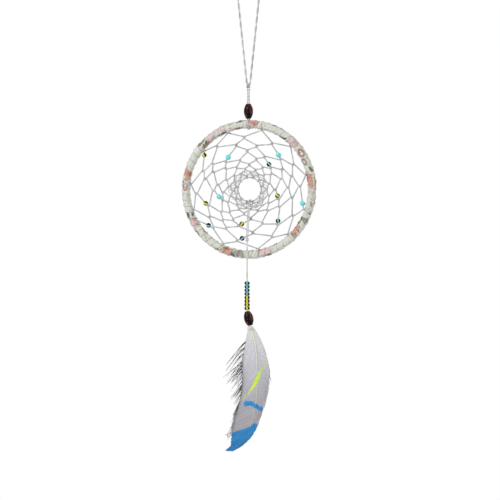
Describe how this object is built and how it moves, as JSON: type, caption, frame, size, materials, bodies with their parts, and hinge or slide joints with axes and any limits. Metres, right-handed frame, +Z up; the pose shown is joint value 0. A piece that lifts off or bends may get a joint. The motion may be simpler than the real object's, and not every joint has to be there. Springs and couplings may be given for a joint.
{
  "type": "dream catcher",
  "caption": "Cloth-bound hoop with a knotted thread net, glass beads and a painted feather pendant, hung from a cord loop.",
  "frame": {"origin": "inside of the hanging loop at its top, where a peg carries it", "axes": "+Z up, front faces -Y, +X to the right seen from the front"},
  "size_m": [0.1107, 0.0124, 0.3759],
  "materials": {
    "cord": "twisted cotton cord, pale grey",
    "thread": "twisted waxed thread, light grey",
    "wrap": "printed cotton strip, sage ground",
    "steel": "plain round wire ring",
    "dark_wood": "polished, dark burgundy",
    "yellow_glass": "lined glass, olive yellow",
    "teal_glass": "lined glass, dark teal",
    "turquoise": "opaque turquoise",
    "vane": "grey feather barbs with yellow and blue paint",
    "quill": "horn, cream",
    "barbs": "loose dark grey barbs"
  },
  "bodies": {
    "loop": {"hanging_loop": "cord", "loop_knot": "cord"},
    "hanger": {"hanger_strands": "cord", "hoop_hitch": "cord"},
    "top_bead": {"top_bead": "dark_wood"},
    "hoop": {"hoop_core": "steel", "hoop_wrap": "wrap", "web_thread": "thread", "web_rim_loops": "thread", "web_eye_ring": "thread"},
    "pendant_upper": {"pendant_tie": "cord", "pendant_cord_upper": "cord", "pendant_knot": "cord", "pendant_cord_rim": "cord"},
    "pendant_lower": {"pendant_cord_lower": "cord"},
    "stack": {"stack_cord": "cord"},
    "pendant_bead": {"pendant_bead": "dark_wood", "pendant_bead_cord": "cord"},
    "feather": {"feather_quill": "quill", "quill_tie": "thread", "feather_vane_left": "vane", "feather_vane_right": "vane", "feather_barbs": "barbs"},
    "seed_bead_8": {"seed_bead_8": "yellow_glass"},
    "seed_bead_7": {"seed_bead_7": "yellow_glass"},
    "seed_bead_6": {"seed_bead_6": "yellow_glass"},
    "seed_bead_5": {"seed_bead_5": "yellow_glass"},
    "seed_bead_4": {"seed_bead_4": "teal_glass"},
    "seed_bead_3": {"seed_bead_3": "teal_glass"},
    "seed_bead_2": {"seed_bead_2": "teal_glass"},
    "seed_bead_1": {"seed_bead_1": "teal_glass"},
    "yellow_bead_rim": {"yellow_bead_rim": "yellow_glass"},
    "yellow_bead_left": {"yellow_bead_left": "yellow_glass"},
    "yellow_bead_right": {"yellow_bead_right": "yellow_glass"},
    "yellow_bead_low": {"yellow_bead_low": "yellow_glass"},
    "teal_bead_high": {"teal_bead_high": "teal_glass"},
    "teal_bead_right": {"teal_bead_right": "teal_glass"},
    "teal_bead_left": {"teal_bead_left": "teal_glass"},
    "teal_bead_low": {"teal_bead_low": "teal_glass"},
    "turquoise_bead_high_left": {"turquoise_bead_high_left": "turquoise"},
    "turquoise_bead_high_right": {"turquoise_bead_high_right": "turquoise"},
    "turquoise_bead_left": {"turquoise_bead_left": "turquoise"},
    "turquoise_bead_rim": {"turquoise_bead_rim": "turquoise"}
  },
  "joints": [
    {"name": "cord_twist", "type": "hinge", "parent": "loop", "child": "hanger", "pos_m": [0, 0, -0.0863], "axis": [0, 0, 1], "range_deg": [-180, 180]},
    {"name": "top_bead_slide", "type": "slide", "parent": "hanger", "child": "top_bead", "axis": [0, 0, 1], "range_m": [0, 0.0115]},
    {"name": "hoop_tilt", "type": "hinge", "parent": "hanger", "child": "hoop", "pos_m": [0, 0, -0.1152], "axis": [1, 0, 0], "range_deg": [-70, 70]},
    {"name": "pendant_lift", "type": "hinge", "parent": "hoop", "child": "pendant_upper", "pos_m": [0.0009, 0, -0.1764], "axis": [-1, 0, 0], "range_deg": [0, 75]},
    {"name": "pendant_swing", "type": "hinge", "parent": "pendant_upper", "child": "pendant_lower", "pos_m": [0, -0.0043, -0.2182], "axis": [0, 1, 0], "range_deg": [-40, 40]},
    {"name": "pendant_twist", "type": "hinge", "parent": "pendant_lower", "child": "stack", "pos_m": [0, -0.0043, -0.239], "axis": [0, 0, 1], "range_deg": [-180, 180]},
    {"name": "pendant_bead_swing", "type": "hinge", "parent": "stack", "child": "pendant_bead", "pos_m": [0, -0.0043, -0.2629], "axis": [0, -1, 0], "range_deg": [-32, 8]},
    {"name": "feather_rock", "type": "hinge", "parent": "pendant_bead", "child": "feather", "pos_m": [0.0026, -0.0043, -0.27492], "axis": [1, 0, 0], "range_deg": [-25, 25]},
    {"name": "seed_bead_8_slide", "type": "slide", "parent": "stack", "child": "seed_bead_8", "axis": [0, 0, 1], "range_m": [0, 0.0018]},
    {"name": "seed_bead_7_slide", "type": "slide", "parent": "seed_bead_8", "child": "seed_bead_7", "axis": [0, 0, 1], "range_m": [0, 0.0018]},
    {"name": "seed_bead_6_slide", "type": "slide", "parent": "seed_bead_7", "child": "seed_bead_6", "axis": [0, 0, 1], "range_m": [0, 0.0018]},
    {"name": "seed_bead_5_slide", "type": "slide", "parent": "seed_bead_6", "child": "seed_bead_5", "axis": [0, 0, 1], "range_m": [0, 0.0018]},
    {"name": "seed_bead_4_slide", "type": "slide", "parent": "seed_bead_5", "child": "seed_bead_4", "axis": [0, 0, 1], "range_m": [0, 0.0018]},
    {"name": "seed_bead_3_slide", "type": "slide", "parent": "seed_bead_4", "child": "seed_bead_3", "axis": [0, 0, 1], "range_m": [0, 0.0018]},
    {"name": "seed_bead_2_slide", "type": "slide", "parent": "seed_bead_3", "child": "seed_bead_2", "axis": [0, 0, 1], "range_m": [0, 0.0018]},
    {"name": "seed_bead_1_slide", "type": "slide", "parent": "seed_bead_2", "child": "seed_bead_1", "axis": [0, 0, 1], "range_m": [0, 0.0018]},
    {"name": "yellow_bead_rim_turn", "type": "hinge", "parent": "hoop", "child": "yellow_bead_rim", "pos_m": [-0.03652, 0, -0.13898], "axis": [-0.0818, 0, -0.9967], "continuous": true},
    {"name": "yellow_bead_left_turn", "type": "hinge", "parent": "hoop", "child": "yellow_bead_left", "pos_m": [-0.03534, 0, -0.17754], "axis": [0.7179, 0, -0.6961], "continuous": true},
    {"name": "yellow_bead_right_turn", "type": "hinge", "parent": "hoop", "child": "yellow_bead_right", "pos_m": [0.02371, 0, -0.17198], "axis": [-0.347, 0, 0.9379], "continuous": true},
    {"name": "yellow_bead_low_turn", "type": "hinge", "parent": "hoop", "child": "yellow_bead_low", "pos_m": [-0.0055, 0, -0.19417], "axis": [0.8858, 0, 0.464], "continuous": true},
    {"name": "teal_bead_high_turn", "type": "hinge", "parent": "hoop", "child": "teal_bead_high", "pos_m": [0.01675, 0, -0.14701], "axis": [-0.5032, 0, 0.8642], "continuous": true},
    {"name": "teal_bead_right_turn", "type": "hinge", "parent": "hoop", "child": "teal_bead_right", "pos_m": [0.02421, 0, -0.19185], "axis": [0.0875, 0, 0.9962], "continuous": true},
    {"name": "teal_bead_left_turn", "type": "hinge", "parent": "hoop", "child": "teal_bead_left", "pos_m": [-0.03297, 0, -0.19516], "axis": [0.898, 0, -0.44], "continuous": true},
    {"name": "teal_bead_low_turn", "type": "hinge", "parent": "hoop", "child": "teal_bead_low", "pos_m": [-0.00524, 0, -0.2056], "axis": [0.9085, 0, 0.4179], "continuous": true},
    {"name": "turquoise_bead_high_left_turn", "type": "hinge", "parent": "hoop", "child": "turquoise_bead_high_left", "pos_m": [-0.01667, 0, -0.141], "axis": [-0.5538, 0, -0.8327], "continuous": true},
    {"name": "turquoise_bead_high_right_turn", "type": "hinge", "parent": "hoop", "child": "turquoise_bead_high_right", "pos_m": [0.02459, 0, -0.13964], "axis": [-0.498, 0, 0.8672], "continuous": true},
    {"name": "turquoise_bead_left_turn", "type": "hinge", "parent": "hoop", "child": "turquoise_bead_left", "pos_m": [-0.02416, 0, -0.1724], "axis": [0.6966, 0, -0.7175], "continuous": true},
    {"name": "turquoise_bead_rim_turn", "type": "hinge", "parent": "hoop", "child": "turquoise_bead_rim", "pos_m": [0.04416, 0, -0.17804], "axis": [-0.1615, 0, 0.9869], "continuous": true}
  ]
}
